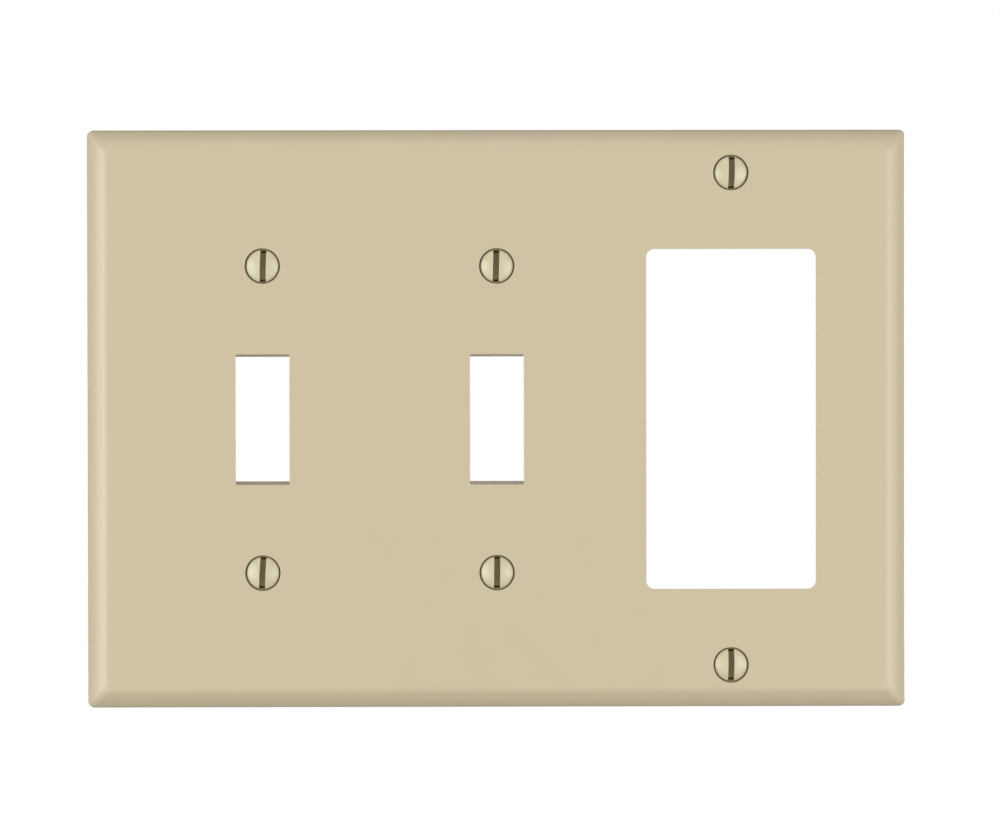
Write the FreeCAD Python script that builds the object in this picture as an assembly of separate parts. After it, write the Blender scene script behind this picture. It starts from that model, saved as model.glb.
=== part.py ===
import FreeCAD, Part
import math
import os

# Three-gang combination wall plate: two toggle openings and one decorator opening in
# one moulded plate, held by six slotted oval-head machine screws.
#
# Frame, in millimetres: +X to the right and +Z up as the plate hangs on its wall, and
# +Y into the wall. The wall plane is y = 0, and the origin is the plate's centre on it.
# Depths are given as distances behind the flat front face.

# Overall plate
plate_width = 161.925       # 6-3/8 in, the standard three-gang width
plate_height = 114.3        # 4-1/2 in
plate_depth = 5.6           # wall plane to flat front face
skin_thickness = 2.3        # moulded wall behind the flat face
rim_width = 2.2             # wall-side rim that touches the wall
corner_radius = 1.2         # outline corners, the same at every depth
pocket_corner_radius = 1.2
pocket_chamfer = 1.4        # keeps the wall under the rolled edge even

# Rolled edge: three arcs that run on from each other, from the flat face outwards
shoulder_radius = 3.2
shoulder_angle = 28.0       # slope reached at the end of the first arc, degrees
slope_radius = 10.0
slope_angle = 48.0
nose_radius = 1.8
side_draft = 1.5            # the side wall leans this much off square, degrees

# Gangs
gang_spacing = 46.04        # 1-13/16 in between neighbouring devices

# Toggle openings, in the left and the middle gang
toggle_width = 10.5         # at the front face, where it is narrowest
toggle_height = 24.6        # at the back, where the end walls come closest
toggle_end_flare = 0.5      # each end wall opens this much towards the front
toggle_side_relief = 0.5    # each side wall opens this much towards the back
toggle_screw_spacing = 60.325   # 2-3/8 in

# Decorator opening, in the right gang
decorator_width = 33.3      # at the front face
decorator_height = 66.8
decorator_corner_radius = 1.6
decorator_relief = 0.65     # every wall opens this much towards the back
decorator_screw_spacing = 96.84  # 3-13/16 in

# Moulded features on the hollow back
collar_width = 1.5          # wall that stands around each opening
collar_height = 1.1         # how far it stands behind the skin
boss_radius = 5.2           # around each screw hole
boss_wall_gap = 0.8         # boss end to wall plane
rib_width = 1.2             # upright ribs between the gangs
rib_wall_gap = 1.2          # rib edge to wall plane
root_depth = 0.3            # how far these stand into the skin and the rim they grow from

# Oval-head screw, No. 6-32
thread_radius = 1.7526      # over the crests
thread_pitch = 25.4 / 32.0
thread_start_y = 0.0        # the plain neck crosses the plate, and the thread starts behind it
screw_length = 12.7         # 1/2 in, from the top of the countersunk cone to the tip
head_radius = 3.2
head_edge = 0.15            # short upright land around the head
head_cone_half_angle = 41.0
crown_height = 0.95         # oval crown above the head's land
slot_width = 1.2
slot_depth = 1.73           # from the top of the crown

# Fits between screw and plate
hole_clearance = 0.3        # radial, thread crest to clearance hole
mouth_clearance = 0.28      # radial, head edge to the mouth of its recess
mouth_land = 0.5            # upright wall at the mouth
mouth_half_angle = 45.0     # the mouth then narrows to a straight throat
throat_inset = 0.2          # radial, the throat is this much smaller than the head
head_sink = 0.55            # flat face to the top of the seated head's cone
seat_clearance = 0.03       # along the axis, head cone to the edge it bears on

# Each slot, as it was cut and tightened: how far it leans off vertical, degrees, its top
# towards +X, and how far it lies off the head's centre, towards +X before it leans
slots = {
    "left_toggle_top_screw": (1.4, 0.13),
    "left_toggle_bottom_screw": (2.9, -0.05),
    "middle_toggle_top_screw": (1.4, -0.13),
    "middle_toggle_bottom_screw": (0.6, 0.0),
    "decorator_top_screw": (1.2, 0.12),
    "decorator_bottom_screw": (0.4, 0.0),
}

# Values that follow from the sizes above
front_y = -plate_depth
pocket_floor_y = front_y + skin_thickness
left_gang_x = -gang_spacing
middle_gang_x = 0.0
right_gang_x = gang_spacing
opening_depth = skin_thickness + collar_height
hole_radius = thread_radius + hole_clearance
mouth_radius = head_radius + mouth_clearance
throat_radius = head_radius - throat_inset
throat_depth = mouth_land + (mouth_radius - throat_radius) / math.tan(
    math.radians(mouth_half_angle)
)
# The head's cone bears on the edge at the bottom of the recess, where the hole begins
cone_to_seat = (head_radius - hole_radius) / math.tan(math.radians(head_cone_half_angle))
seat_depth = head_sink + cone_to_seat + seat_clearance
cone_top_y = front_y + head_sink
crown_base_y = cone_top_y - head_edge
crown_top_y = crown_base_y - crown_height
screw_tip_y = cone_top_y + screw_length
thread_depth = 0.61343 * thread_pitch           # unified 60 degree thread
tip_radius = thread_radius - thread_depth
neck_radius = thread_radius - 0.32476 * thread_pitch   # the blank that a thread is rolled on
overrun = 1.0               # how far cutting shapes reach past the faces they cut

AXIS_Y = FreeCAD.Vector(0, 1, 0)
ORIGIN = FreeCAD.Vector(0, 0, 0)


def on_circle(centre_x, centre_z, radius, y, angle):
    """A point on a circle that lies in the plane at y."""
    return FreeCAD.Vector(
        centre_x + radius * math.cos(angle), y, centre_z + radius * math.sin(angle)
    )


def rounded_rectangle(width, height, radius, y, centre_x=0.0, centre_z=0.0):
    """A closed wire in the plane at y: straight sides joined by quarter circles."""
    reach_x = width / 2.0 - radius
    reach_z = height / 2.0 - radius
    quarter = math.pi / 2.0
    arcs = []
    for turn, (sign_x, sign_z) in enumerate(((1, 1), (-1, 1), (-1, -1), (1, -1))):
        corner_x = centre_x + sign_x * reach_x
        corner_z = centre_z + sign_z * reach_z
        arcs.append([
            on_circle(corner_x, corner_z, radius, y, quarter * (turn + part))
            for part in (0.0, 0.5, 1.0)
        ])
    edges = []
    for arc, following in zip(arcs, arcs[1:] + arcs[:1]):
        edges.append(Part.Arc(*arc).toShape())
        edges.append(Part.LineSegment(arc[-1], following[0]).toShape())
    return Part.Wire(edges)


def sharp_rectangle(width, height, y, centre_x=0.0, centre_z=0.0):
    """A closed rectangular wire in the plane at y."""
    low_x = centre_x - width / 2.0
    low_z = centre_z - height / 2.0
    corners = [
        FreeCAD.Vector(low_x, y, low_z),
        FreeCAD.Vector(low_x + width, y, low_z),
        FreeCAD.Vector(low_x + width, y, low_z + height),
        FreeCAD.Vector(low_x, y, low_z + height),
    ]
    return Part.makePolygon(corners + corners[:1])


def block(low_x, high_x, low_y, high_y, low_z, high_z):
    """A box between two corners."""
    return Part.makeBox(
        high_x - low_x, high_y - low_y, high_z - low_z, FreeCAD.Vector(low_x, low_y, low_z)
    )


def rod(radius, low_y, high_y, centre_x, centre_z):
    """A round bar along Y."""
    return Part.makeCylinder(
        radius, high_y - low_y, FreeCAD.Vector(centre_x, low_y, centre_z), AXIS_Y
    )


def rolled_edge_profile():
    """(inset from the flat face's boundary, depth below the face) down the rolled edge.

    Points lie on the three arcs, close enough together for a smooth skin through them.
    """
    step = 6.0
    points = [(0.0, 0.0)]
    inset = 0.0
    drop = 0.0
    begin = 0.0
    arcs = (
        (shoulder_radius, shoulder_angle),
        (slope_radius, slope_angle),
        (nose_radius, 90.0 - side_draft),
    )
    for radius, end in arcs:
        count = max(2, math.ceil((end - begin) / step))
        for index in range(1, count + 1):
            angle = math.radians(begin + (end - begin) * index / count)
            start = math.radians(begin)
            points.append((
                inset + radius * (math.sin(angle) - math.sin(start)),
                drop + radius * (math.cos(start) - math.cos(angle)),
            ))
        inset, drop = points[-1]
        begin = end
    return points


def plate_blank():
    """The outer shape: slices are rounded rectangles that grow down the rolled edge."""
    profile = rolled_edge_profile()
    edge_run, edge_drop = profile[-1]
    side_run = (plate_depth - edge_drop) * math.tan(math.radians(side_draft))
    bevel_width = edge_run + side_run
    flat_width = plate_width - 2.0 * bevel_width
    flat_height = plate_height - 2.0 * bevel_width
    slices = []
    for run, drop in profile:
        slices.append(rounded_rectangle(
            flat_width + 2.0 * run, flat_height + 2.0 * run, corner_radius, front_y + drop
        ))
    rolled = Part.makeLoft(slices, True, False)
    wall_slice = rounded_rectangle(plate_width, plate_height, corner_radius, 0.0)
    side = Part.makeLoft([slices[-1], wall_slice], True, True)
    return rolled.fuse(side)


def pocket():
    """The hollow of the back, from past the wall plane to the inside of the skin."""
    width = plate_width - 2.0 * rim_width
    height = plate_height - 2.0 * rim_width
    chamfer = 2.0 * pocket_chamfer
    slices = [
        rounded_rectangle(width, height, pocket_corner_radius, overrun),
        rounded_rectangle(width, height, pocket_corner_radius, pocket_floor_y + pocket_chamfer),
        rounded_rectangle(
            width - chamfer, height - chamfer, pocket_corner_radius, pocket_floor_y
        ),
    ]
    return Part.makeLoft(slices, True, True)


def window(front_slice, back_slice):
    """A straight-walled cutting shape between two like slices."""
    return Part.makeLoft([front_slice, back_slice], True, True)


def toggle_window(centre_x):
    """End walls open towards the front, side walls towards the back."""
    reach = (opening_depth + overrun) / opening_depth
    flare = 2.0 * toggle_end_flare
    relief = 2.0 * toggle_side_relief
    return window(
        sharp_rectangle(
            toggle_width - relief * (reach - 1.0),
            toggle_height + flare * reach,
            front_y - overrun,
            centre_x,
        ),
        sharp_rectangle(
            toggle_width + relief * reach,
            toggle_height - flare * (reach - 1.0),
            front_y + opening_depth + overrun,
            centre_x,
        ),
    )


def decorator_window(centre_x):
    """All four walls open a little towards the back."""
    reach = (opening_depth + overrun) / opening_depth
    relief = 2.0 * decorator_relief
    front_change = -relief * (reach - 1.0)
    back_change = relief * reach
    return window(
        rounded_rectangle(
            decorator_width + front_change,
            decorator_height + front_change,
            decorator_corner_radius,
            front_y - overrun,
            centre_x,
        ),
        rounded_rectangle(
            decorator_width + back_change,
            decorator_height + back_change,
            decorator_corner_radius,
            front_y + opening_depth + overrun,
            centre_x,
        ),
    )


def collar(width, height, centre_x):
    """A low wall on the inside of the skin, all around an opening."""
    half_x = width / 2.0 + collar_width
    half_z = height / 2.0 + collar_width
    return block(
        centre_x - half_x,
        centre_x + half_x,
        pocket_floor_y - root_depth,
        pocket_floor_y + collar_height,
        -half_z,
        half_z,
    )


def ribs():
    """Upright ribs between the gangs, from the bottom of the rim to its top."""
    half_x = rib_width / 2.0
    half_z = plate_height / 2.0 - rim_width + root_depth
    between = (
        (left_gang_x + middle_gang_x) / 2.0,
        (middle_gang_x + right_gang_x) / 2.0,
    )
    return [
        block(x - half_x, x + half_x, pocket_floor_y - root_depth, -rib_wall_gap, -half_z, half_z)
        for x in between
    ]


def screw_places():
    """Each screw's name, with the x and z of its axis."""
    places = {}
    for gang, centre_x, spacing in (
        ("left_toggle", left_gang_x, toggle_screw_spacing),
        ("middle_toggle", middle_gang_x, toggle_screw_spacing),
        ("decorator", right_gang_x, decorator_screw_spacing),
    ):
        places[gang + "_top_screw"] = (centre_x, spacing / 2.0)
        places[gang + "_bottom_screw"] = (centre_x, -spacing / 2.0)
    return places


def revolved(points, centre_x=0.0, centre_z=0.0):
    """Turn a closed (radius, y) outline about an axis along Y."""
    corners = [FreeCAD.Vector(centre_x + radius, y, centre_z) for radius, y in points]
    outline = Part.Face(Part.makePolygon(corners + corners[:1]))
    return outline.revolve(FreeCAD.Vector(centre_x, 0, centre_z), AXIS_Y, 360.0)


def screw_hole(centre_x, centre_z):
    """Recess for the head, which narrows to a straight throat, then the clearance hole."""
    return revolved(
        [
            (0.0, front_y - overrun),
            (mouth_radius, front_y - overrun),
            (mouth_radius, front_y + mouth_land),
            (throat_radius, front_y + throat_depth),
            (throat_radius, front_y + seat_depth),
            (hole_radius, front_y + seat_depth),
            (hole_radius, overrun),
            (0.0, overrun),
        ],
        centre_x,
        centre_z,
    )


def wall_plate():
    """One moulding: skin, rolled rim, collars, bosses and ribs."""
    added = ribs()
    added.append(collar(
        toggle_width + 2.0 * toggle_side_relief, toggle_height, left_gang_x
    ))
    added.append(collar(
        toggle_width + 2.0 * toggle_side_relief, toggle_height, middle_gang_x
    ))
    added.append(collar(
        decorator_width + 2.0 * decorator_relief,
        decorator_height + 2.0 * decorator_relief,
        right_gang_x,
    ))
    removed = [
        toggle_window(left_gang_x),
        toggle_window(middle_gang_x),
        decorator_window(right_gang_x),
    ]
    for centre_x, centre_z in screw_places().values():
        added.append(rod(
            boss_radius,
            pocket_floor_y - root_depth,
            -boss_wall_gap,
            centre_x,
            centre_z,
        ))
        removed.append(screw_hole(centre_x, centre_z))
    shell = plate_blank().cut(pocket())
    shell = shell.fuse(added)
    return shell.cut(removed).removeSplitter()


def screw_blank():
    """Oval head, countersunk cone, neck and thread on the Y axis, with no slot yet.

    The thread is a plain bar of the size over its crests.
    """
    cone_bottom_y = cone_top_y + (head_radius - neck_radius) / math.tan(
        math.radians(head_cone_half_angle)
    )
    crown_radius = (head_radius**2 + crown_height**2) / (2.0 * crown_height)
    half_angle = math.asin(head_radius / crown_radius) / 2.0
    crown_middle = FreeCAD.Vector(
        crown_radius * math.sin(half_angle),
        crown_top_y + crown_radius * (1.0 - math.cos(half_angle)),
        0,
    )
    crown_top = FreeCAD.Vector(0, crown_top_y, 0)
    below_crown = [
        (head_radius, crown_base_y),
        (head_radius, cone_top_y),
        (neck_radius, cone_bottom_y),
        (neck_radius, thread_start_y),
        (thread_radius, thread_start_y),
        (thread_radius, screw_tip_y - thread_depth),
        (tip_radius, screw_tip_y),
        (0.0, screw_tip_y),
    ]
    corners = [FreeCAD.Vector(radius, y, 0) for radius, y in below_crown]
    edges = [Part.Arc(crown_top, crown_middle, corners[0]).toShape()]
    for begin, end in zip(corners, corners[1:] + [crown_top]):
        edges.append(Part.LineSegment(begin, end).toShape())
    return Part.Face(Part.Wire(edges)).revolve(ORIGIN, AXIS_Y, 360.0)


def screw_slot(offset):
    """Cutting shape for an upright driving slot that lies this far off the head's centre."""
    return block(
        offset - slot_width / 2.0,
        offset + slot_width / 2.0,
        crown_top_y - overrun,
        crown_top_y + slot_depth,
        -head_radius - overrun,
        head_radius + overrun,
    )


def main():
    os.makedirs("parts", exist_ok=True)
    wall_plate().exportStep("parts/wall_plate.step")
    blank = screw_blank()
    for name, (centre_x, centre_z) in screw_places().items():
        lean, offset = slots[name]
        screw = blank.cut(screw_slot(offset))
        screw.rotate(ORIGIN, AXIS_Y, lean)
        screw.translate(FreeCAD.Vector(centre_x, 0, centre_z))
        screw.exportStep("parts/" + name + ".step")


main()
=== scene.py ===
import math

import bmesh
import bpy
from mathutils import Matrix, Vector


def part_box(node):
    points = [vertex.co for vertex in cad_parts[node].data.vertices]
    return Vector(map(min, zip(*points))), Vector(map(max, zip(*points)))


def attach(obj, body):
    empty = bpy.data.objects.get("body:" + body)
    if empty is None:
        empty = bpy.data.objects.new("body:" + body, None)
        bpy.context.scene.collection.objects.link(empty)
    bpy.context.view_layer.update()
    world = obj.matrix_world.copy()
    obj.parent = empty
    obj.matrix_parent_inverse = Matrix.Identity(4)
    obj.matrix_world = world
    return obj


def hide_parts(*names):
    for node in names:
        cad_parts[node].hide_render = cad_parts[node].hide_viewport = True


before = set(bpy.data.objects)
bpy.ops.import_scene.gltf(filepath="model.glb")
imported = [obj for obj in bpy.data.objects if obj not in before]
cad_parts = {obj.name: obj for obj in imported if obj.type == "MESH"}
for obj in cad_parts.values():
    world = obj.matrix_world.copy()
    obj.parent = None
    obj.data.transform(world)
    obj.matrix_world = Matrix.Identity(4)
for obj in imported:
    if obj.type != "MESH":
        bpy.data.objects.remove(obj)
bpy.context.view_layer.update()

# A three-gang combination wall plate with its six oval-head screws. +X is to the right, +Z is
# up and +Y points into the wall. The wall plane is y = 0 and the front faces -Y.

bl_info = {
    "name": "Combination wall plate",
    "version": (1, 0, 0),
    "blender": (4, 5, 0),
    "location": "3D View > Sidebar > Wall plate",
    "description": "Models a moulded combination wall plate, its screws and a plain studio",
    "category": "Mesh",
}

MM = 0.001
PLATE_NODE = "wall_plate"
SCREW_NODES = sorted(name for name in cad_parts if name.endswith("_screw"))
PLATE_LOW, PLATE_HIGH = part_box(PLATE_NODE)
FRONT_Y = PLATE_LOW.y
HALF_WIDTH = PLATE_HIGH.x
HALF_HEIGHT = PLATE_HIGH.z
FACING = (math.pi / 2.0, 0.0, 0.0)   # turns a primitive's flat side towards -Y
PAST = 1.0 * MM                      # how far a cutting shape reaches past what it cuts
ROOT = 0.3 * MM                      # how deep a rib, boss or collar starts inside the skin
FINE_WELD = 0.0005 * MM              # closer than this, two points of a screw are one
ROUND_STEPS = 96                     # sides of a round hole or boss
HEAD_STEPS = 128                     # sides of a screw head
THREAD_STEPS = 48                    # sides of one turn of the thread
FLAT_SLOPE = math.radians(32.0)      # faces that meet at less than this are shaded as one

# The unified thread form, in pitches: its depth, and how far the pitch circle lies under the
# crests. A plain neck is as thick as the pitch circle.
THREAD_DEPTH = 0.61343
PITCH_LINE = 0.32476
THREAD_FLANK = math.radians(30.0)

# Each slot, as it was cut and tightened: how far it leans off upright, degrees, its top
# towards +X, and how many millimetres it lies off the head's centre, towards +X
SLOTS = {
    "left_toggle_top_screw": (1.4, 0.13),
    "left_toggle_bottom_screw": (2.9, -0.05),
    "middle_toggle_top_screw": (1.4, -0.13),
    "middle_toggle_bottom_screw": (0.6, 0.0),
    "decorator_top_screw": (1.2, 0.12),
    "decorator_bottom_screw": (0.4, 0.0),
}


# ---------------------------------------------------------------- sizes and finishes

def length(name, description, millimetres):
    """A length that is stated in millimetres and held in metres."""
    return bpy.props.FloatProperty(
        name=name, description=description, default=millimetres * MM, unit="LENGTH", precision=5
    )


def degrees(name, description, value):
    """An angle that is stated in degrees and held in radians."""
    return bpy.props.FloatProperty(
        name=name, description=description, default=math.radians(value), subtype="ANGLE"
    )


def watts(name, description, value):
    """The power of a light."""
    return bpy.props.FloatProperty(
        name=name, description=description, default=value, unit="POWER"
    )


def tint(name, description, value):
    """A colour held as an sRGB hex value."""
    return bpy.props.StringProperty(name=name, description=description, default=value)


class PlateSizes(bpy.types.PropertyGroup):
    """Sizes of the moulded plate that its own box doesn't give."""

    skin: length("Skin", "Wall behind the flat face", 2.3)
    rim: length("Rim", "Width of the rim that touches the wall", 2.2)
    corner: length("Corner radius", "Radius of the outline's corners", 1.2)
    pocket_chamfer: length("Pocket chamfer", "Slope between pocket wall and floor", 1.4)
    shoulder_radius: length("Shoulder radius", "First arc of the rolled edge", 3.2)
    shoulder_angle: degrees("Shoulder angle", "Slope at the end of the first arc", 28.0)
    slope_radius: length("Slope radius", "Second arc of the rolled edge", 10.0)
    slope_angle: degrees("Slope angle", "Slope at the end of the second arc", 48.0)
    nose_radius: length("Nose radius", "Last arc of the rolled edge", 1.8)
    side_draft: degrees("Side draft", "Lean of the side wall", 1.5)
    edge_round: length("Edge rounding", "Radius on the moulding's crisp edges", 0.12)
    toggle_width: length("Toggle width", "Toggle opening at the front face", 10.5)
    toggle_height: length("Toggle height", "Toggle opening at the back", 24.6)
    toggle_end_flare: length("Toggle end flare", "How far an end wall opens forwards", 0.5)
    toggle_side_relief: length("Toggle side relief", "How far a side wall opens backwards", 0.5)
    decorator_width: length("Decorator width", "Decorator opening at the front face", 33.3)
    decorator_height: length("Decorator height", "Decorator opening at the front face", 66.8)
    decorator_corner: length("Decorator corner", "Corner radius of that opening", 1.6)
    decorator_relief: length("Decorator relief", "How far its walls open backwards", 0.65)
    collar_width: length("Collar width", "Wall around an opening, at the back", 1.5)
    collar_height: length("Collar height", "How far it stands behind the skin", 1.1)
    boss_radius: length("Boss radius", "Boss around a screw hole", 5.2)
    boss_gap: length("Boss gap", "Boss end to wall plane", 0.8)
    rib_width: length("Rib width", "Upright rib between gangs", 1.2)
    rib_gap: length("Rib gap", "Rib edge to wall plane", 1.2)
    hole_radius: length("Hole radius", "Clearance hole for a screw", 2.0526)
    mouth_radius: length("Mouth radius", "Recess for a screw head, at the face", 3.48)
    mouth_land: length("Mouth land", "Upright wall at the mouth", 0.5)
    throat_radius: length("Throat radius", "Straight wall the mouth narrows to", 3.0)
    seat_depth: length("Seat depth", "Flat face to the edge the head bears on", 1.9)


class ScrewSizes(bpy.types.PropertyGroup):
    """Sizes of a No. 6-32 oval-head screw."""

    head_radius: length("Head radius", "Edge of the head", 3.2)
    head_edge: length("Head edge", "Upright land around the head", 0.15)
    cone_angle: degrees("Cone half angle", "Countersunk side of the head", 41.0)
    crown: length("Crown", "Height of the oval crown", 0.95)
    slot_width: length("Slot width", "Width of the driving slot", 1.2)
    slot_depth: length("Slot depth", "From the top of the crown", 1.73)
    edge_round: length("Edge rounding", "Radius on the slot's and head's edges", 0.07)
    reach: length("Reach", "Top of the cone to the tip", 12.7)
    thread_radius: length("Thread radius", "Over the crests", 1.7526)
    pitch: length("Pitch", "Thread pitch, 32 to the inch", 0.79375)


class Finishes(bpy.types.PropertyGroup):
    """Colours of the moulding, the enamel and the bare metal."""

    ivory: tint("Ivory", "Moulded urea thermoset", "#CBBEA0")
    ivory_deep: tint("Deeper ivory", "Mottling in the moulding", "#C8BA9C")
    # The next two colours are painted shade, put into the recesses round the screw heads.
    ivory_painted_shade: tint("Ivory, painted shade", "Painted shade in the recesses round the screws", "#978B6F")
    ivory_darker_painted_shade: tint("Ivory, darker painted shade", "Darker painted shade in those recesses", "#8E8268")
    enamel: tint("Enamel", "Baked enamel on the screw heads", "#CFC8A6")
    # This colour is painted shade, down in the slots and on the head below the plate's face.
    enamel_painted_shade: tint("Enamel, painted shade", "Painted shade in the slots and below the plate's face", "#A69976")
    zinc: tint("Zinc", "Plating on the screw shanks", "#CDCFD0")
    floor: tint("Floor", "Studio floor", "#F4F3F0")


class StageSizes(bpy.types.PropertyGroup):
    """Camera and lights."""

    distance: length("Camera distance", "Camera to front face", 459.0)
    aside: length("Camera aside", "Camera to the right of the plate's centre", -10.0)
    above: length("Camera above", "Camera above the plate's centre", 18.0)
    tilt: degrees("Camera tilt", "Upwards from level", -0.433)
    roll: degrees("Camera roll", "About the way it looks", 0.085)
    turn: degrees("Camera turn", "To the left from square on", -0.271)
    lens: bpy.props.FloatProperty(
        name="Lens", description="Focal length, millimetres", default=84.123
    )
    shift_x: bpy.props.FloatProperty(
        name="Shift right", description="Lens shift, in frame widths", default=0.04303
    )
    shift_y: bpy.props.FloatProperty(
        name="Shift up", description="Lens shift, in frame widths", default=-0.07205
    )
    left: watts("Left light", "Left softbox", 9.2)
    left_wash: watts("Left wash", "Wide light on the left", 3.1)
    right: watts("Right light", "Right softbox", 7.1)
    right_wash: watts("Right wash", "Wide light on the right", 4.2)
    overhead: watts("Top light", "Overhead softbox", 2.9)
    behind: watts("Back light", "Wide light on the side towards the wall", 9.5)
    room: bpy.props.FloatProperty(
        name="Room light", description="Even light from all round", default=0.22
    )


# ---------------------------------------------------------------- modelling by hand

def put_down_everything():
    """Back to object mode with nothing selected."""
    if bpy.context.mode != "OBJECT":
        bpy.ops.object.mode_set(mode="OBJECT")
    bpy.ops.object.select_all(action="DESELECT")


def take_up(piece):
    """Makes a piece the only selected and the active one."""
    put_down_everything()
    piece.select_set(True)
    bpy.context.view_layer.objects.active = piece


def start_rectangle(name, ring, centre, corner=0.0, corner_steps=8):
    """A flat rectangle facing -Y, its corners rounded, left in edit mode and selected."""
    half_x, half_z, y = ring
    put_down_everything()
    bpy.ops.mesh.primitive_plane_add(
        size=2.0, location=(centre[0], y, centre[1]), rotation=FACING
    )
    piece = bpy.context.object
    piece.name = name
    piece.scale = (half_x, half_z, 1.0)
    bpy.ops.object.transform_apply(location=True, rotation=True, scale=True)
    bpy.ops.object.mode_set(mode="EDIT")
    bpy.ops.mesh.select_all(action="SELECT")
    if corner:
        bpy.ops.mesh.bevel(
            offset=corner, offset_type="OFFSET", segments=corner_steps, affect="VERTICES"
        )
        bpy.ops.mesh.select_all(action="SELECT")
    return piece


def start_disc(name, ring, centre, steps=ROUND_STEPS):
    """A flat disc facing -Y, left in edit mode and selected."""
    radius, _, y = ring
    put_down_everything()
    bpy.ops.mesh.primitive_circle_add(
        vertices=steps,
        radius=radius,
        fill_type="NGON",
        location=(centre[0], y, centre[1]),
        rotation=FACING,
    )
    piece = bpy.context.object
    piece.name = name
    bpy.ops.object.transform_apply(location=True, rotation=True, scale=True)
    bpy.ops.object.mode_set(mode="EDIT")
    bpy.ops.mesh.select_all(action="SELECT")
    return piece


def draw_out(piece, centre, rings):
    """Extrudes the selected outline through (half width, half height, y) rings and caps it."""
    half_x, half_z, y = rings[0]
    for next_x, next_z, next_y in rings[1:]:
        bpy.ops.mesh.extrude_edges_move(
            TRANSFORM_OT_translate={"value": (0.0, next_y - y, 0.0)}
        )
        bpy.ops.transform.resize(
            value=(next_x / half_x, 1.0, next_z / half_z),
            center_override=(centre[0], next_y, centre[1]),
        )
        half_x, half_z, y = next_x, next_z, next_y
    bpy.ops.mesh.edge_face_add()
    bpy.ops.mesh.select_all(action="SELECT")
    bpy.ops.mesh.normals_make_consistent(inside=False)
    bpy.ops.object.mode_set(mode="OBJECT")
    return piece


def rounded_block(name, rings, centre, corner=0.0, corner_steps=8):
    """A closed solid through rectangular rings."""
    return draw_out(
        start_rectangle(name, rings[0], centre, corner, corner_steps), centre, rings
    )


def turned(name, profile, centre, steps=ROUND_STEPS):
    """A closed solid through round rings of (radius, y)."""
    rings = [(radius, radius, y) for radius, y in profile]
    return draw_out(start_disc(name, rings[0], centre, steps), centre, rings)


def join(pieces):
    """Joins pieces into the first of them."""
    take_up(pieces[0])
    for piece in pieces[1:]:
        piece.select_set(True)
    bpy.ops.object.join()
    return pieces[0]


def finish_with(piece, kind, **settings):
    """Adds a modifier with its settings and applies it."""
    take_up(piece)
    bpy.ops.object.modifier_add(type=kind)
    modifier = piece.modifiers[-1]
    for name, value in settings.items():
        setattr(modifier, name, value)
    bpy.ops.object.modifier_apply(modifier=modifier.name)
    return piece


def copy_of(piece):
    """A copy with a mesh of its own."""
    take_up(piece)
    bpy.ops.object.duplicate(linked=False)
    return bpy.context.object


def combine(piece, tool, operation):
    """Adds, cuts or keeps the tool's shape, and takes the tool away."""
    finish_with(piece, "BOOLEAN", object=tool, operation=operation, solver="EXACT")
    bpy.data.objects.remove(tool)
    return piece


def weld(piece, distance=0.002 * MM):
    """Merges doubled points and turns all faces outwards."""
    take_up(piece)
    bpy.ops.object.mode_set(mode="EDIT")
    bpy.ops.mesh.select_all(action="SELECT")
    bpy.ops.mesh.remove_doubles(threshold=distance)
    bpy.ops.mesh.normals_make_consistent(inside=False)
    bpy.ops.object.mode_set(mode="OBJECT")
    return piece


def soften_edges(piece, width, segments=3, sharper_than=30.0):
    """Rounds every crisp edge."""
    return finish_with(
        piece,
        "BEVEL",
        width=width,
        segments=segments,
        limit_method="ANGLE",
        angle_limit=math.radians(sharper_than),
        use_clamp_overlap=False,
        miter_outer="MITER_ARC",
    )


def shade(piece):
    """Smooth shading that keeps flat faces flat."""
    take_up(piece)
    bpy.ops.object.shade_smooth_by_angle(angle=FLAT_SLOPE)
    return finish_with(piece, "WEIGHTED_NORMAL", keep_sharp=True, weight=75)


def second_material(piece, chosen):
    """Gives the second material to the faces whose middle passes the test."""
    take_up(piece)
    bpy.ops.object.mode_set(mode="EDIT")
    bpy.ops.mesh.select_mode(type="FACE")
    bpy.ops.mesh.select_all(action="DESELECT")
    mesh = bmesh.from_edit_mesh(piece.data)
    for face in mesh.faces:
        face.select_set(chosen(face.calc_center_median()))
    bmesh.update_edit_mesh(piece.data)
    piece.active_material_index = 1
    bpy.ops.object.material_slot_assign()
    bpy.ops.mesh.select_mode(type="VERT")
    bpy.ops.object.mode_set(mode="OBJECT")


def arc_steps(begin, end, step):
    """Angles from just past begin up to end, evenly spaced."""
    count = max(1, math.ceil(abs(end - begin) / step))
    return [begin + (end - begin) * index / count for index in range(1, count + 1)]


# ---------------------------------------------------------------- the plate

def rolled_edge(sizes):
    """(run, drop) points down the rolled edge, from the flat face outwards."""
    points = [(0.0, 0.0)]
    begin = 0.0
    arcs = (
        (sizes.shoulder_radius, sizes.shoulder_angle),
        (sizes.slope_radius, sizes.slope_angle),
        (sizes.nose_radius, math.pi / 2.0 - sizes.side_draft),
    )
    for radius, end in arcs:
        run, drop = points[-1]
        for angle in arc_steps(begin, end, math.radians(3.0)):
            points.append((
                run + radius * (math.sin(angle) - math.sin(begin)),
                drop + radius * (math.cos(begin) - math.cos(angle)),
            ))
        begin = end
    return points


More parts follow.
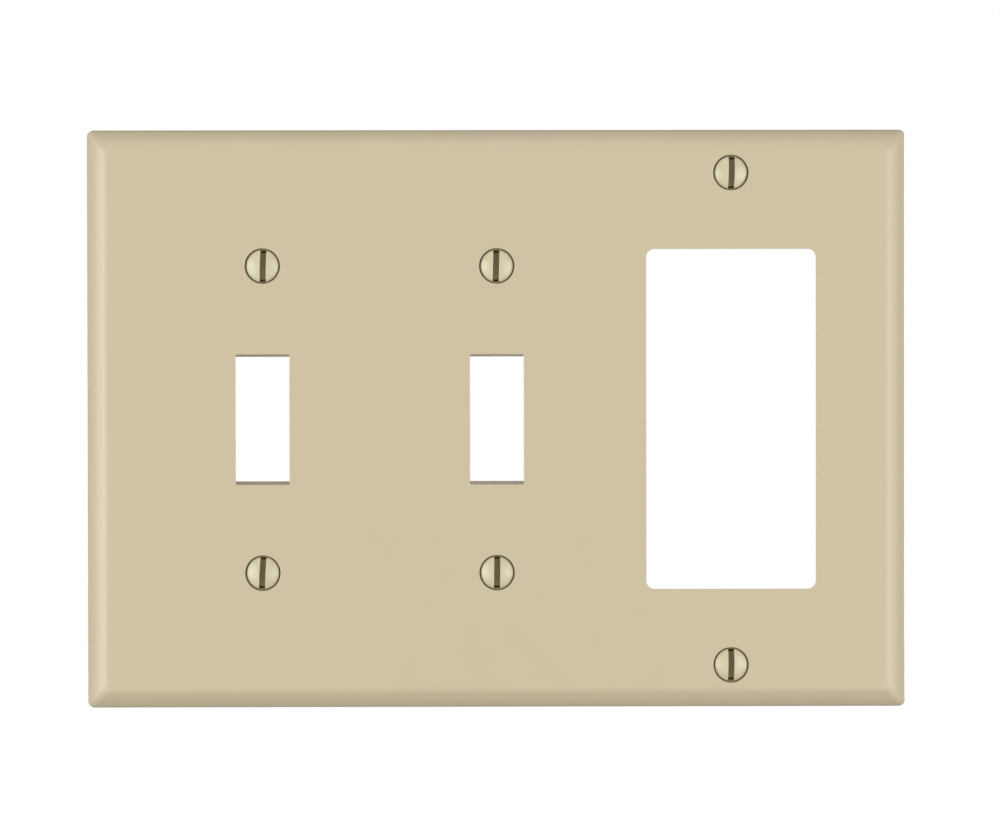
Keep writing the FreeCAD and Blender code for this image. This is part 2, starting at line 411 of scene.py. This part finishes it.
def plate_shell(sizes):
    """The rolled skin and rim, and the pocket behind them, as one closed solid."""
    profile = rolled_edge(sizes)
    edge_run, edge_drop = profile[-1]
    side_run = (-FRONT_Y - edge_drop) * math.tan(sizes.side_draft)
    flat_x = HALF_WIDTH - edge_run - side_run
    flat_z = HALF_HEIGHT - edge_run - side_run
    rings = [(flat_x + run, flat_z + run, FRONT_Y + drop) for run, drop in profile]
    inner_x = HALF_WIDTH - sizes.rim
    inner_z = HALF_HEIGHT - sizes.rim
    floor_y = FRONT_Y + sizes.skin
    chamfer = sizes.pocket_chamfer
    rings += [
        (HALF_WIDTH, HALF_HEIGHT, 0.0),
        (inner_x, inner_z, 0.0),
        (inner_x, inner_z, floor_y + chamfer),
        (inner_x - chamfer, inner_z - chamfer, floor_y),
    ]
    return rounded_block("wall_plate_moulding", rings, (0.0, 0.0), sizes.corner)


def window(name, sizes, half_x, half_z, grow_x, grow_z, centre_x, corner=0.0):
    """A cutting shape for an opening whose half sizes grow by grow_x and grow_z to the back."""
    depth = sizes.skin + sizes.collar_height
    share = PAST / depth
    before, behind = -share, 1.0 + share
    rings = [
        (half_x + grow_x * before, half_z + grow_z * before, FRONT_Y - PAST),
        (half_x + grow_x * behind, half_z + grow_z * behind, FRONT_Y + depth + PAST),
    ]
    return rounded_block(name, rings, (centre_x, 0.0), corner)


def raised_block(name, sizes, half_x, half_z, top_y, centre):
    """A block that stands on the pocket's floor."""
    rings = [
        (half_x, half_z, FRONT_Y + sizes.skin - ROOT),
        (half_x, half_z, top_y),
    ]
    return rounded_block(name, rings, centre)


def gang_centres():
    """x of the left, middle and right gang, from the screws that hold each."""
    centres = []
    for gang in ("left_toggle", "middle_toggle", "decorator"):
        low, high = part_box(gang + "_top_screw")
        centres.append((low.x + high.x) / 2.0)
    return centres


def screw_axes():
    """(x, z) of each screw's axis."""
    axes = {}
    for node in SCREW_NODES:
        low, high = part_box(node)
        axes[node] = ((low.x + high.x) / 2.0, (low.z + high.z) / 2.0)
    return axes


def plate_additions(sizes):
    """Collars, bosses and ribs at the back."""
    left, middle, right = gang_centres()
    collar_top = FRONT_Y + sizes.skin + sizes.collar_height
    wall = sizes.collar_width
    added = []
    for centre_x in (left, middle):
        added.append(raised_block(
            "collar",
            sizes,
            sizes.toggle_width / 2.0 + sizes.toggle_side_relief + wall,
            sizes.toggle_height / 2.0 + wall,
            collar_top,
            (centre_x, 0.0),
        ))
    added.append(raised_block(
        "collar",
        sizes,
        sizes.decorator_width / 2.0 + sizes.decorator_relief + wall,
        sizes.decorator_height / 2.0 + sizes.decorator_relief + wall,
        collar_top,
        (right, 0.0),
    ))
    for centre_x in ((left + middle) / 2.0, (middle + right) / 2.0):
        added.append(raised_block(
            "rib",
            sizes,
            sizes.rib_width / 2.0,
            HALF_HEIGHT - sizes.rim + ROOT,
            -sizes.rib_gap,
            (centre_x, 0.0),
        ))
    for centre in screw_axes().values():
        profile = [
            (sizes.boss_radius, FRONT_Y + sizes.skin - ROOT),
            (sizes.boss_radius, -sizes.boss_gap),
        ]
        added.append(turned("boss", profile, centre))
    return join(added)


def plate_cutters(sizes):
    """The three openings and the six recessed screw holes."""
    left, middle, right = gang_centres()
    cutters = []
    for centre_x in (left, middle):
        cutters.append(window(
            "toggle_window",
            sizes,
            sizes.toggle_width / 2.0,
            sizes.toggle_height / 2.0 + sizes.toggle_end_flare,
            sizes.toggle_side_relief,
            -sizes.toggle_end_flare,
            centre_x,
        ))
    cutters.append(window(
        "decorator_window",
        sizes,
        sizes.decorator_width / 2.0,
        sizes.decorator_height / 2.0,
        sizes.decorator_relief,
        sizes.decorator_relief,
        right,
        sizes.decorator_corner,
    ))
    throat_y = FRONT_Y + sizes.mouth_land + sizes.mouth_radius - sizes.throat_radius
    hole = [
        (sizes.mouth_radius, FRONT_Y - PAST),
        (sizes.mouth_radius, FRONT_Y + sizes.mouth_land),
        (sizes.throat_radius, throat_y),
        (sizes.throat_radius, FRONT_Y + sizes.seat_depth),
        (sizes.hole_radius, FRONT_Y + sizes.seat_depth),
        (sizes.hole_radius, PAST),
    ]
    for centre in screw_axes().values():
        cutters.append(turned("screw_hole", hole, centre))
    return join(cutters)


def in_a_recess(sizes):
    """A test for points below the mouth of a screw hole, where shade is painted into the
    moulding's colour.
    """
    mouth = FRONT_Y + sizes.edge_round
    ledge = FRONT_Y + sizes.seat_depth + sizes.edge_round
    axes = screw_axes().values()

    def test(point):
        return mouth < point.y < ledge and any(
            math.hypot(point.x - x, point.z - z) < sizes.mouth_radius + sizes.edge_round
            for x, z in axes
        )

    return test


class WALLPLATE_OT_mould_plate(bpy.types.Operator):
    """Models the moulded plate, with its rolled edge, openings, holes and ribbed back"""

    bl_idname = "wallplate.mould_plate"
    bl_label = "Mould the plate"

    def execute(self, context):
        sizes = context.scene.plate_sizes
        finishes = context.scene.finishes
        plate = plate_shell(sizes)
        combine(plate, plate_additions(sizes), "UNION")
        combine(plate, plate_cutters(sizes), "DIFFERENCE")
        weld(plate)
        soften_edges(plate, sizes.edge_round)
        shade(plate)
        plate.data.materials.clear()
        plate.data.materials.append(
            moulded_urea("moulded urea thermoset, ivory", finishes.ivory, finishes.ivory_deep)
        )
        # The second material is painted shade, given to the walls of the recesses round the
        # screw heads.
        plate.data.materials.append(
            moulded_urea(
                "moulded urea thermoset, soiled", finishes.ivory_painted_shade, finishes.ivory_darker_painted_shade
            )
        )
        second_material(plate, in_a_recess(sizes))
        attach(plate, PLATE_NODE)
        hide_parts(PLATE_NODE)
        return {"FINISHED"}


# ---------------------------------------------------------------- the screws

def screw_levels(sizes):
    """Places along a seated screw, and the radii that follow from its thread and crown."""
    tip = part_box(SCREW_NODES[0])[1].y
    cone_top = tip - sizes.reach
    thread_depth = THREAD_DEPTH * sizes.pitch
    neck_radius = sizes.thread_radius - PITCH_LINE * sizes.pitch
    cone_length = (sizes.head_radius - neck_radius) / math.tan(sizes.cone_angle)
    return {
        "tip": tip,
        "cone_top": cone_top,
        "cone_bottom": cone_top + cone_length,
        "crown_base": cone_top - sizes.head_edge,
        "crown_top": cone_top - sizes.head_edge - sizes.crown,
        "thread_start": 0.0,
        "thread_depth": thread_depth,
        "root_radius": sizes.thread_radius - thread_depth,
        "neck_radius": neck_radius,
        "crown_radius": (sizes.head_radius**2 + sizes.crown**2) / (2.0 * sizes.crown),
    }


def eased_corner(before, corner, after, radius, steps=5):
    """Points of an arc that rounds one corner of an outline."""
    before, corner, after = Vector(before), Vector(corner), Vector(after)
    first = (before - corner).normalized()
    second = (after - corner).normalized()
    half = first.angle(second) / 2.0
    centre = corner + (first + second).normalized() * radius / math.sin(half)
    begin = (corner + first * radius / math.tan(half) - centre).normalized()
    end = (corner + second * radius / math.tan(half) - centre).normalized()
    return [
        tuple(centre + begin.slerp(end, step / steps) * radius) for step in range(steps + 1)
    ]


def screw_head(sizes, levels):
    """Oval crown, countersunk cone and plain neck, with no slot yet."""
    crown_radius = levels["crown_radius"]
    crown = [
        (
            crown_radius * math.sin(angle),
            levels["crown_top"] + crown_radius * (1.0 - math.cos(angle)),
        )
        for angle in arc_steps(
            0.0, math.asin(sizes.head_radius / crown_radius), math.radians(1.5)
        )
    ]
    rim = (sizes.head_radius, levels["crown_base"])
    cone_top = (sizes.head_radius, levels["cone_top"])
    cone_bottom = (levels["neck_radius"], levels["cone_bottom"])
    neck_end = (levels["neck_radius"], levels["thread_start"] + sizes.pitch / 2.0)
    outline = crown[:-1]
    outline += eased_corner(crown[-2], rim, cone_top, sizes.edge_round)
    outline += eased_corner(rim, cone_top, cone_bottom, sizes.edge_round)
    outline += [cone_bottom, neck_end]
    return turned("screw_head", outline, (0.0, 0.0), steps=HEAD_STEPS)


def cap_end(piece, end):
    """Closes an open end with a fan of faces; end is -1 at the lower y, 1 at the upper."""
    take_up(piece)
    bpy.ops.object.mode_set(mode="EDIT")
    bpy.ops.mesh.select_mode(type="EDGE")
    bpy.ops.mesh.select_all(action="DESELECT")
    mesh = bmesh.from_edit_mesh(piece.data)
    middle = sum(vertex.co.y for vertex in mesh.verts) / len(mesh.verts)
    for edge in mesh.edges:
        if edge.is_boundary and (edge.verts[0].co.y - middle) * end > 0.0:
            edge.select_set(True)
    bmesh.update_edit_mesh(piece.data)
    bpy.ops.mesh.extrude_edges_move()
    bpy.ops.mesh.merge(type="CENTER")
    bpy.ops.mesh.select_mode(type="VERT")
    bpy.ops.object.mode_set(mode="OBJECT")


def thread_bar(sizes, levels):
    """A right-hand helical thread that fades in at the neck and is chamfered at the tip."""
    depth = levels["thread_depth"]
    crest = sizes.pitch / 8.0
    flank = depth * math.tan(THREAD_FLANK)
    root = sizes.pitch - crest - 2.0 * flank
    spare = 2.3 * sizes.pitch   # drawn past the neck and cut off, so that it starts full
    begin = levels["thread_start"] - spare
    turns = math.ceil((levels["tip"] - begin) / sizes.pitch) + 2
    put_down_everything()
    bpy.ops.mesh.primitive_plane_add(size=sizes.pitch)
    bar = bpy.context.object
    bar.name = "screw_thread"
    bpy.ops.object.mode_set(mode="EDIT")
    bpy.ops.mesh.select_all(action="SELECT")
    bpy.ops.mesh.merge(type="CENTER")
    bpy.ops.transform.translate(value=(sizes.thread_radius, begin, 0.0))
    for inwards, along in ((0.0, crest), (-depth, flank), (0.0, root), (depth, flank)):
        bpy.ops.mesh.extrude_vertices_move(
            TRANSFORM_OT_translate={"value": (inwards, along, 0.0)}
        )
    bpy.ops.object.mode_set(mode="OBJECT")
    finish_with(
        bar,
        "SCREW",
        axis="Y",
        angle=-2.0 * math.pi,
        screw_offset=sizes.pitch,
        iterations=turns,
        steps=THREAD_STEPS,
        render_steps=THREAD_STEPS,
    )
    weld(bar, FINE_WELD)
    cap_end(bar, -1)
    cap_end(bar, 1)
    weld(bar, FINE_WELD)
    past = 0.05 * MM   # keeps the envelope off the crests
    envelope = [
        (levels["root_radius"], levels["thread_start"]),
        (sizes.thread_radius + past, levels["thread_start"] + depth + past),
        (sizes.thread_radius + past, levels["tip"] - depth - past),
        (levels["root_radius"], levels["tip"]),
    ]
    return combine(bar, turned("envelope", envelope, (0.0, 0.0)), "INTERSECT")


def slot_cutter(sizes, levels, offset):
    """The straight part of a driving slot."""
    half = sizes.slot_width / 2.0
    reach = sizes.head_radius + PAST
    rings = [
        (half, reach, levels["crown_top"] - PAST),
        (half, reach, levels["crown_top"] + sizes.slot_depth),
    ]
    return rounded_block("slot", rings, (offset, 0.0))


def lip_cutter(sizes, levels, wall_x, side):
    """Rounds the edge between a slot wall and the crown, which is an arc about the X axis.

    side is 1 for the wall that faces -X, and -1 for the other. The rounding bites a little
    past both faces that it joins.
    """
    rounding = sizes.edge_round
    bite = 0.003 * MM
    run_out = math.radians(25.0)      # how far past the crown the arc goes on
    half_sweep = math.radians(42.0)   # past both ends of the slot
    sweep_steps = 56
    reach = levels["crown_radius"] - rounding + bite
    centre_x = wall_x + side * (rounding - bite)
    centre_height = math.sqrt(reach**2 - centre_x**2)
    crown_centre = levels["crown_top"] + levels["crown_radius"]
    leave = math.atan2(centre_height, side * centre_x) - run_out
    put_down_everything()
    bpy.ops.mesh.primitive_plane_add(size=rounding)
    lip = bpy.context.object
    lip.name = "slot_lip"
    bpy.ops.object.mode_set(mode="EDIT")
    bpy.ops.mesh.select_all(action="SELECT")
    bpy.ops.mesh.merge(type="CENTER")
    here = Vector((0.0, 0.0, 0.0))
    corners = [(centre_x - side * rounding, crown_centre - centre_height + rounding)]
    for angle in [math.pi] + arc_steps(math.pi, leave, math.radians(15.0)):
        corners.append((
            centre_x + side * rounding * math.cos(angle),
            crown_centre - centre_height - rounding * math.sin(angle),
        ))
    in_slot = wall_x - side * 0.3 * sizes.slot_width
    outside = levels["crown_top"] - PAST
    corners += [(corners[-1][0], outside), (in_slot, outside), (in_slot, corners[0][1])]
    for index, (x, y) in enumerate(corners):
        step = Vector((x, y, 0.0)) - here
        if index:
            bpy.ops.mesh.extrude_vertices_move(TRANSFORM_OT_translate={"value": step})
        else:
            bpy.ops.transform.translate(value=step)
        here += step
    bpy.ops.mesh.select_all(action="SELECT")
    bpy.ops.mesh.edge_face_add()
    hub = (0.0, crown_centre, 0.0)
    bpy.ops.transform.rotate(
        value=-half_sweep, orient_axis="X", orient_type="GLOBAL", center_override=hub
    )
    bpy.ops.mesh.spin(
        steps=sweep_steps, angle=2.0 * half_sweep, center=hub, axis=(1.0, 0.0, 0.0)
    )
    bpy.ops.mesh.select_all(action="SELECT")
    bpy.ops.mesh.normals_make_consistent(inside=False)
    bpy.ops.object.mode_set(mode="OBJECT")
    return lip


def cut_slot(screw, sizes, levels, offset):
    """Saws the driving slot and rounds its two long edges."""
    combine(screw, slot_cutter(sizes, levels, offset), "DIFFERENCE")
    for side in (-1, 1):
        wall_x = offset + side * sizes.slot_width / 2.0
        combine(screw, lip_cutter(sizes, levels, wall_x, side), "DIFFERENCE")


class WALLPLATE_OT_turn_screws(bpy.types.Operator):
    """Models one oval head and one thread, and for each hole slots and joins copies of them"""

    bl_idname = "wallplate.turn_screws"
    bl_label = "Turn the screws"

    def execute(self, context):
        sizes = context.scene.screw_sizes
        finishes = context.scene.finishes
        levels = screw_levels(sizes)
        head_blank = screw_head(sizes, levels)
        head_blank.data.materials.clear()
        head_blank.data.materials.append(baked_enamel(finishes))
        head_blank.data.materials.append(zinc_plate(finishes))
        thread_blank = thread_bar(sizes, levels)
        for node, (x, z) in screw_axes().items():
            lean, offset = SLOTS[node]
            screw = copy_of(head_blank)
            screw.name = node + "_turned"
            cut_slot(screw, sizes, levels, offset * MM)
            combine(screw, copy_of(thread_blank), "UNION")
            weld(screw, 2.0 * FINE_WELD)
            shade(screw)
            second_material(screw, lambda middle: middle.y > levels["cone_bottom"])
            take_up(screw)
            screw.location = (x, 0.0, z)
            screw.rotation_euler = (0.0, math.radians(lean), 0.0)
            bpy.ops.object.transform_apply(location=True, rotation=True, scale=True)
            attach(screw, node)
            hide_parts(node)
        bpy.data.objects.remove(head_blank)
        bpy.data.objects.remove(thread_blank)
        return {"FINISHED"}


# ---------------------------------------------------------------- finishes

def linear(value):
    """Linear colour with alpha from an sRGB hex value."""
    digits = value.lstrip("#")
    channels = [int(digits[index:index + 2], 16) / 255.0 for index in (0, 2, 4)]
    return tuple(
        c / 12.92 if c <= 0.04045 else ((c + 0.055) / 1.055) ** 2.4 for c in channels
    ) + (1.0,)


def add_node(tree, kind, settings=None, values=None, links=None):
    """Adds a node with its settings, input values and incoming links."""
    node = tree.nodes.new(kind)
    for name, value in (settings or {}).items():
        setattr(node, name, value)
    for name, value in (values or {}).items():
        node.inputs[name].default_value = value
    for name, source in (links or {}).items():
        tree.links.new(source, node.inputs[name])
    return node


def new_material(name):
    """A material with only its shader and output, and where it reads its place from."""
    material = bpy.data.materials.get(name)
    if material:
        return material, None, None, None
    material = bpy.data.materials.new(name)
    material.use_nodes = True
    tree = material.node_tree
    shader = next(node for node in tree.nodes if node.type == "BSDF_PRINCIPLED")
    place = add_node(tree, "ShaderNodeTexCoord").outputs["Object"]
    return material, tree, shader, place


def moulded_urea(name, colour_from, colour_to):
    """Moulded urea thermoset: dense, hard and opaque, from a satin mould.

    It shows a soft broad sheen, faint mottling a few millimetres across, and a fine dull grain.
    """
    material, tree, shader, place = new_material(name)
    if tree is None:
        return material
    mottle = add_node(
        tree,
        "ShaderNodeTexNoise",
        values={"Scale": 1.0 / (7.0 * MM), "Detail": 4.0, "Roughness": 0.55},
        links={"Vector": place},
    )
    grain = add_node(
        tree,
        "ShaderNodeTexNoise",
        values={"Scale": 1.0 / (0.45 * MM), "Detail": 3.0, "Roughness": 0.6},
        links={"Vector": place},
    )
    colour = add_node(
        tree,
        "ShaderNodeMix",
        settings={"data_type": "RGBA"},
        values={6: linear(colour_from), 7: linear(colour_to)},
        links={0: mottle.outputs["Fac"]},
    )
    tree.links.new(colour.outputs[2], shader.inputs["Base Color"])
    dullness = add_node(
        tree,
        "ShaderNodeMapRange",
        values={"From Min": 0.3, "From Max": 0.7, "To Min": 0.33, "To Max": 0.39},
        links={"Value": grain.outputs["Fac"]},
    )
    tree.links.new(dullness.outputs["Result"], shader.inputs["Roughness"])
    relief = add_node(
        tree,
        "ShaderNodeBump",
        values={"Strength": 0.25, "Distance": 0.01 * MM},
        links={"Height": grain.outputs["Fac"]},
    )
    tree.links.new(relief.outputs["Normal"], shader.inputs["Normal"])
    shader.inputs["IOR"].default_value = 1.54
    return material


def baked_enamel(finishes):
    """Baked enamel sprayed on steel: a glossy film, with painted shade and a duller finish
    below the plate's face, in the slot and round the head's rim.

    Sprayed, so it has a faint orange peel half a millimetre across.
    """
    material, tree, shader, place = new_material("baked enamel on steel, ivory")
    if tree is None:
        return material
    peel = add_node(
        tree,
        "ShaderNodeTexNoise",
        values={"Scale": 1.0 / (0.5 * MM), "Detail": 2.0, "Roughness": 0.5},
        links={"Vector": place},
    )
    relief = add_node(
        tree,
        "ShaderNodeBump",
        values={"Strength": 0.3, "Distance": 0.01 * MM},
        links={"Height": peel.outputs["Fac"]},
    )
    tree.links.new(relief.outputs["Normal"], shader.inputs["Normal"])
    # Painted shade: the enamel's colour darkens with depth below the plate's face, and its
    # roughness rises with it.
    depth = add_node(tree, "ShaderNodeSeparateXYZ", links={"Vector": place})
    painted_shade_ramp = add_node(
        tree,
        "ShaderNodeMapRange",
        values={
            "From Min": FRONT_Y + 0.1 * MM,   # just under the plate's face the painted shade begins
            "From Max": FRONT_Y + 0.7 * MM,   # and here it covers all
            "To Min": 0.0,
            "To Max": 1.0,
        },
        links={"Value": depth.outputs["Y"]},
    )
    colour = add_node(
        tree,
        "ShaderNodeMix",
        settings={"data_type": "RGBA"},
        values={6: linear(finishes.enamel), 7: linear(finishes.enamel_painted_shade)},
        links={0: painted_shade_ramp.outputs["Result"]},
    )
    tree.links.new(colour.outputs[2], shader.inputs["Base Color"])
    dullness = add_node(
        tree,
        "ShaderNodeMapRange",
        values={"From Min": 0.0, "From Max": 1.0, "To Min": 0.27, "To Max": 0.6},
        links={"Value": painted_shade_ramp.outputs["Result"]},
    )
    tree.links.new(dullness.outputs["Result"], shader.inputs["Roughness"])
    shader.inputs["IOR"].default_value = 1.52
    return material


def zinc_plate(finishes):
    """Zinc plating on rolled steel: grey, with a dull metallic sheen and fine streaks."""
    material, tree, shader, place = new_material("zinc-plated steel")
    if tree is None:
        return material
    streaks = add_node(
        tree,
        "ShaderNodeTexNoise",
        values={"Scale": 1.0 / (0.3 * MM), "Detail": 3.0, "Roughness": 0.6},
        links={"Vector": place},
    )
    dullness = add_node(
        tree,
        "ShaderNodeMapRange",
        values={"From Min": 0.3, "From Max": 0.7, "To Min": 0.42, "To Max": 0.54},
        links={"Value": streaks.outputs["Fac"]},
    )
    tree.links.new(dullness.outputs["Result"], shader.inputs["Roughness"])
    shader.inputs["Base Color"].default_value = linear(finishes.zinc)
    shader.inputs["Metallic"].default_value = 1.0
    return material


FLOOR_GLOW = 0.34
FADE_START = 0.28   # metres from the plate's middle
FADE_END = 0.49


def floor_panel(finishes):
    """A matt acrylic floor panel, lit from below, that fades into the backdrop at its rim."""
    material, tree, shader, place = new_material("matt acrylic floor panel")
    if tree is None:
        return material
    shader.inputs["Base Color"].default_value = linear(finishes.floor)
    shader.inputs["Roughness"].default_value = 0.85
    shader.inputs["Emission Color"].default_value = linear(finishes.floor)
    shader.inputs["Emission Strength"].default_value = FLOOR_GLOW
    reach = add_node(
        tree,
        "ShaderNodeVectorMath",
        settings={"operation": "LENGTH"},
        links={"Vector": place},
    )
    fade = add_node(
        tree,
        "ShaderNodeMapRange",
        settings={"interpolation_type": "SMOOTHSTEP"},
        values={"From Min": FADE_START, "From Max": FADE_END, "To Min": 0.0, "To Max": 1.0},
        links={"Value": reach.outputs["Value"]},
    )
    clear = add_node(tree, "ShaderNodeBsdfTransparent")
    blend = add_node(
        tree,
        "ShaderNodeMixShader",
        links={0: fade.outputs["Result"], 1: shader.outputs[0], 2: clear.outputs[0]},
    )
    output = next(node for node in tree.nodes if node.type == "OUTPUT_MATERIAL")
    tree.links.new(blend.outputs[0], output.inputs["Surface"])
    return material


# ---------------------------------------------------------------- the stage

# Each light's name, which is also its power's; how many degrees it hangs aside and up from
# the plate's front; and its width and height, metres
SOFTBOXES = (
    ("left", -55.0, 0.0, (0.9, 0.9)),
    ("left_wash", -50.0, -22.0, (1.5, 0.9)),
    ("right", 53.0, 0.0, (0.95, 0.9)),
    ("right_wash", 52.0, -22.0, (1.5, 0.9)),
    ("overhead", 0.0, 60.0, (0.9, 0.7)),
    ("behind", 155.0, 0.0, (1.4, 0.5)),
)
LIGHT_DISTANCE = 1.2
FLOOR_RADIUS = 0.5
FLOOR_HEIGHT = -0.21


def softbox(name, aside, up, size, power):
    """A rectangular light facing the plate, this many degrees aside and up from its front."""
    aside = math.radians(aside)
    up = math.radians(up)
    put_down_everything()
    bpy.ops.object.light_add(type="AREA")
    light = bpy.context.object
    light.name = name + "_softbox"
    light.location = LIGHT_DISTANCE * Vector((
        math.sin(aside) * math.cos(up), -math.cos(aside) * math.cos(up), math.sin(up)
    ))
    light.rotation_mode = "QUATERNION"
    light.rotation_quaternion = (-light.location).to_track_quat("-Z", "Y")
    light.data.shape = "RECTANGLE"
    light.data.size, light.data.size_y = size
    light.data.energy = power


def light_room(strength):
    """Even room light, and a backdrop that the camera sees as pure white."""
    world = bpy.data.worlds.new("studio")
    bpy.context.scene.world = world
    world.use_nodes = True
    tree = world.node_tree
    tree.nodes.clear()
    even = add_node(
        tree,
        "ShaderNodeBackground",
        values={"Color": (1.0, 1.0, 1.0, 1.0), "Strength": strength},
    )
    backdrop = add_node(
        tree,
        "ShaderNodeBackground",
        values={"Color": (1.0, 1.0, 1.0, 1.0), "Strength": 1.0},
    )
    seen = add_node(tree, "ShaderNodeLightPath").outputs["Is Camera Ray"]
    mix = add_node(
        tree,
        "ShaderNodeMixShader",
        links={0: seen, 1: even.outputs[0], 2: backdrop.outputs[0]},
    )
    add_node(tree, "ShaderNodeOutputWorld", links={"Surface": mix.outputs[0]})


class WALLPLATE_OT_set_stage(bpy.types.Operator):
    """Lays the floor, hangs the lights and sets up the camera"""

    bl_idname = "wallplate.set_stage"
    bl_label = "Set the stage"

    def execute(self, context):
        sizes = context.scene.stage_sizes
        put_down_everything()
        bpy.ops.mesh.primitive_circle_add(
            vertices=ROUND_STEPS,
            radius=FLOOR_RADIUS,
            fill_type="NGON",
            location=(0.0, 0.0, FLOOR_HEIGHT),
        )
        floor = bpy.context.object
        floor.name = "studio_floor"
        bpy.ops.object.transform_apply(location=True, rotation=True, scale=True)
        floor.data.materials.append(floor_panel(context.scene.finishes))
        floor.visible_diffuse = False   # it throws no light back at the plate's lower edge
        floor.visible_glossy = False
        for name, aside, up, size in SOFTBOXES:
            softbox(name, aside, up, size, getattr(sizes, name))
        light_room(sizes.room)
        put_down_everything()
        bpy.ops.object.camera_add(
            location=(sizes.aside, FRONT_Y - sizes.distance, sizes.above),
            rotation=(math.pi / 2.0 + sizes.tilt, sizes.roll, sizes.turn),
        )
        camera = bpy.context.object
        camera.data.lens = sizes.lens
        camera.data.shift_x = sizes.shift_x
        camera.data.shift_y = sizes.shift_y
        context.scene.camera = camera
        context.scene.view_settings.view_transform = "Standard"
        return {"FINISHED"}


class WALLPLATE_PT_panel(bpy.types.Panel):
    """Lists the plate's steps and sizes"""

    bl_label = "Wall plate"
    bl_idname = "WALLPLATE_PT_panel"
    bl_space_type = "VIEW_3D"
    bl_region_type = "UI"
    bl_category = "Wall plate"

    def draw(self, context):
        column = self.layout.column()
        for operator in OPERATORS:
            column.operator(operator.bl_idname)
        for group_name in SETTINGS:
            group = getattr(context.scene, group_name)
            box = column.box()
            for name in group.bl_rna.properties.keys():
                if name not in ("rna_type", "name"):
                    box.prop(group, name)


OPERATORS = (WALLPLATE_OT_mould_plate, WALLPLATE_OT_turn_screws, WALLPLATE_OT_set_stage)
SETTINGS = {
    "plate_sizes": PlateSizes,
    "screw_sizes": ScrewSizes,
    "finishes": Finishes,
    "stage_sizes": StageSizes,
}


def register():
    for group_name, group in SETTINGS.items():
        bpy.utils.register_class(group)
        setattr(bpy.types.Scene, group_name, bpy.props.PointerProperty(type=group))
    for operator in OPERATORS:
        bpy.utils.register_class(operator)
    bpy.utils.register_class(WALLPLATE_PT_panel)


def unregister():
    bpy.utils.unregister_class(WALLPLATE_PT_panel)
    for operator in reversed(OPERATORS):
        bpy.utils.unregister_class(operator)
    for group_name, group in SETTINGS.items():
        delattr(bpy.types.Scene, group_name)
        bpy.utils.unregister_class(group)


def main():
    register()
    bpy.ops.wallplate.mould_plate()
    bpy.ops.wallplate.turn_screws()
    bpy.ops.wallplate.set_stage()
    put_down_everything()


if __name__ == "__main__":
    main()
